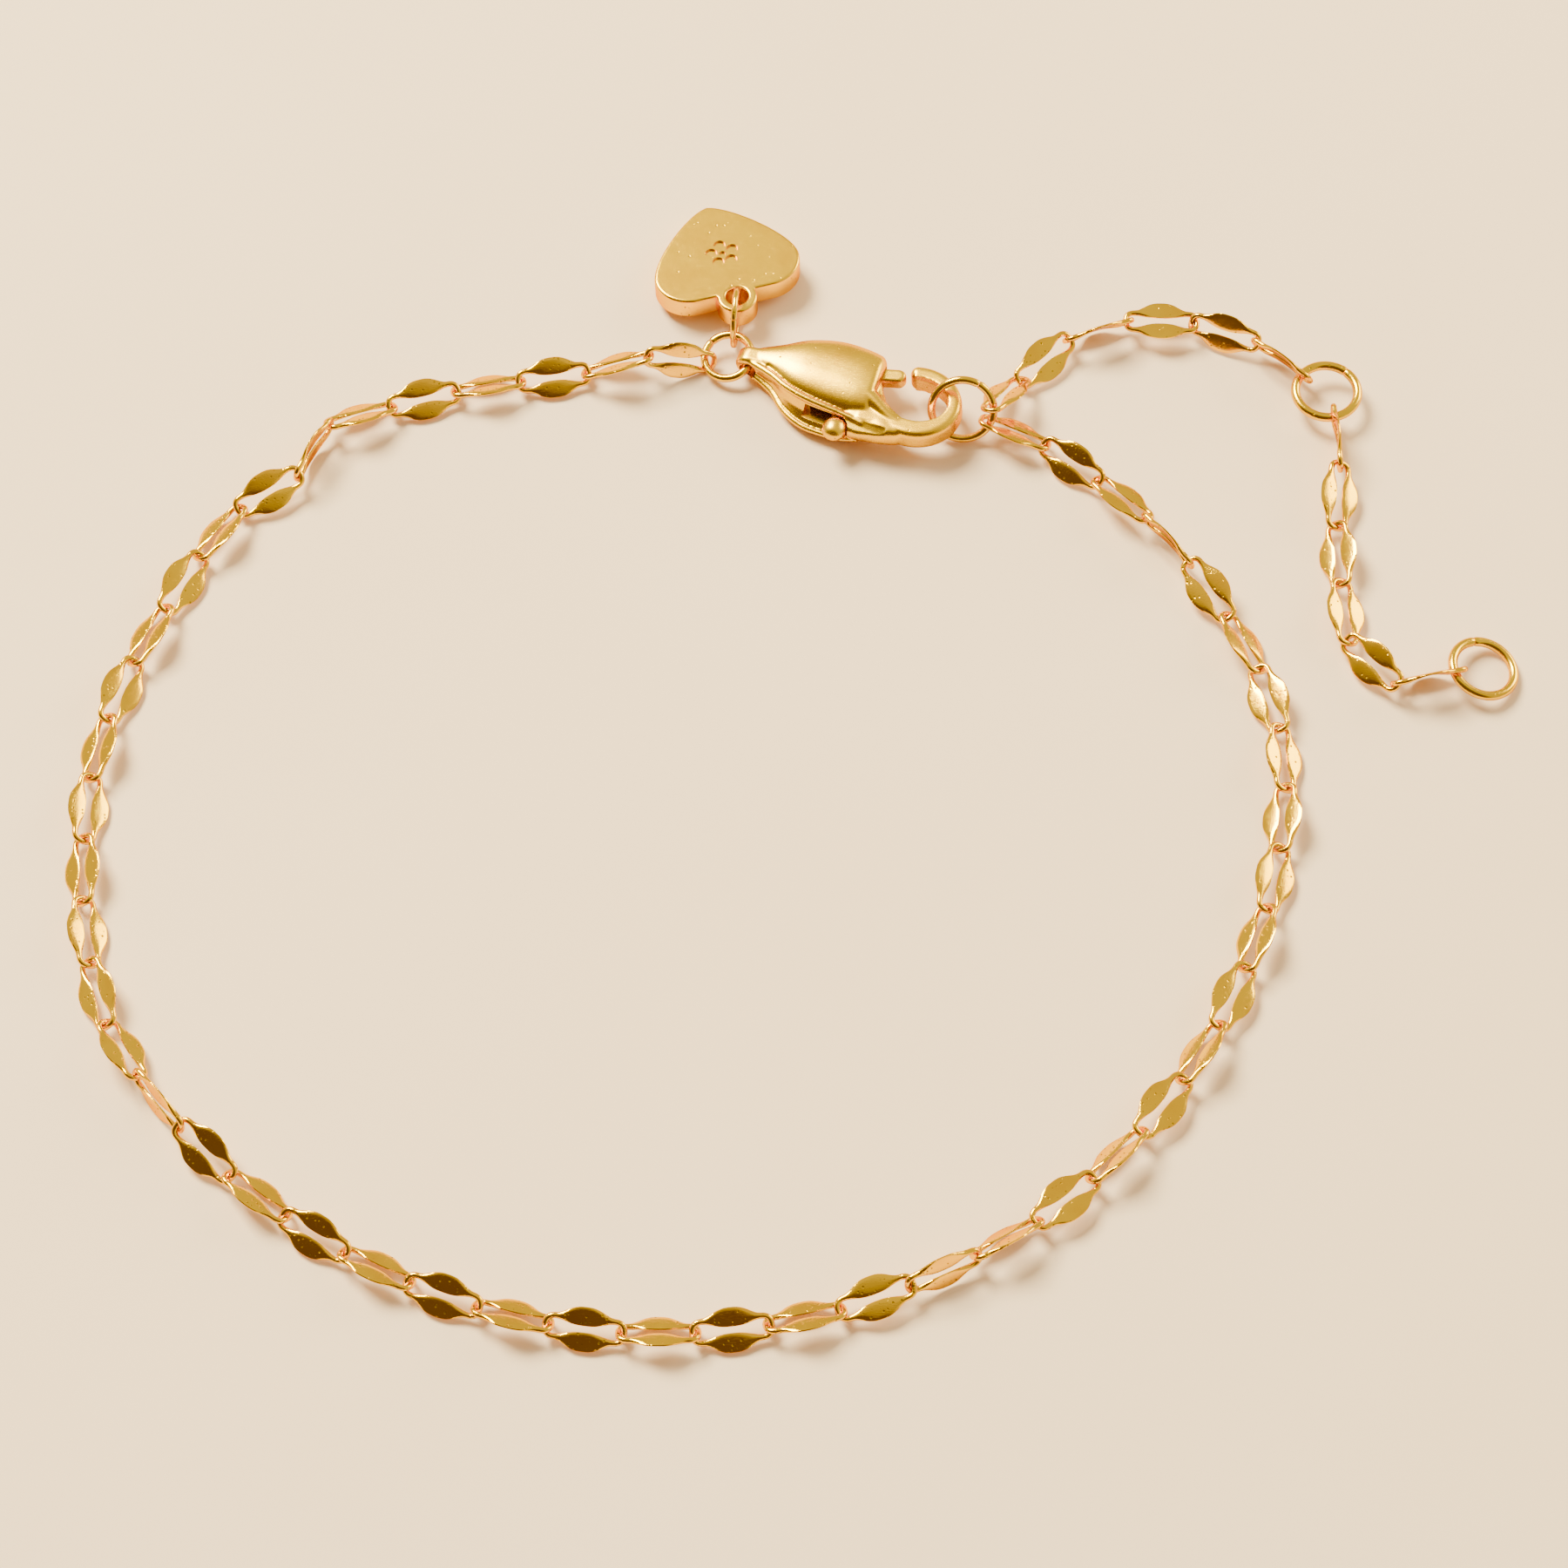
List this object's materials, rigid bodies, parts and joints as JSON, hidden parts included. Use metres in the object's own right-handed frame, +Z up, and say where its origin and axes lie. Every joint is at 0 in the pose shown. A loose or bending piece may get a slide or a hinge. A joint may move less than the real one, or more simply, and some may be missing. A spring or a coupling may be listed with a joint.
{
  "type": "sequin link chain bracelet with lobster clasp and heart charm",
  "caption": "Gold-coloured bracelet of flat-sided mirror links, closed by a lobster clasp, with an extension chain and a heart charm.",
  "frame": {"origin": "centre of the bounding box in plan, at the level of the surface it lies on", "axes": "+Z up, away from the surface; +X towards the extension's free ring; +Y from the chain's front towards the clasp and the charm"},
  "size_m": [0.0694, 0.062, 0.0031],
  "materials": {
    "clasp_gold": "polished yellow gold plate",
    "ring_gold": "polished yellow gold plate",
    "chain_gold": "mirror-bright yellow gold plate with fine pits",
    "charm_gold": "satin yellow gold plate"
  },
  "bodies": {
    "bracelet": {"clasp_body": "clasp_gold", "clasp_ring": "ring_gold", "hook_ring": "ring_gold", "mid_ring": "ring_gold", "end_ring": "ring_gold", "charm_ring": "ring_gold", "main_chain": "chain_gold", "extension_chain_inner": "chain_gold", "extension_chain_outer": "chain_gold", "heart_charm": "charm_gold"},
    "lever": {"clasp_lever": "clasp_gold"}
  },
  "joints": [
    {"name": "lever_pivot", "type": "hinge", "parent": "bracelet", "child": "lever", "pos_m": [0.00256, 0.02067, 0.00125], "axis": [-0.0532, 0.0168, 0.9984], "range_deg": [-24, 0], "stiffness_Nm_per_rad": 0.001}
  ]
}
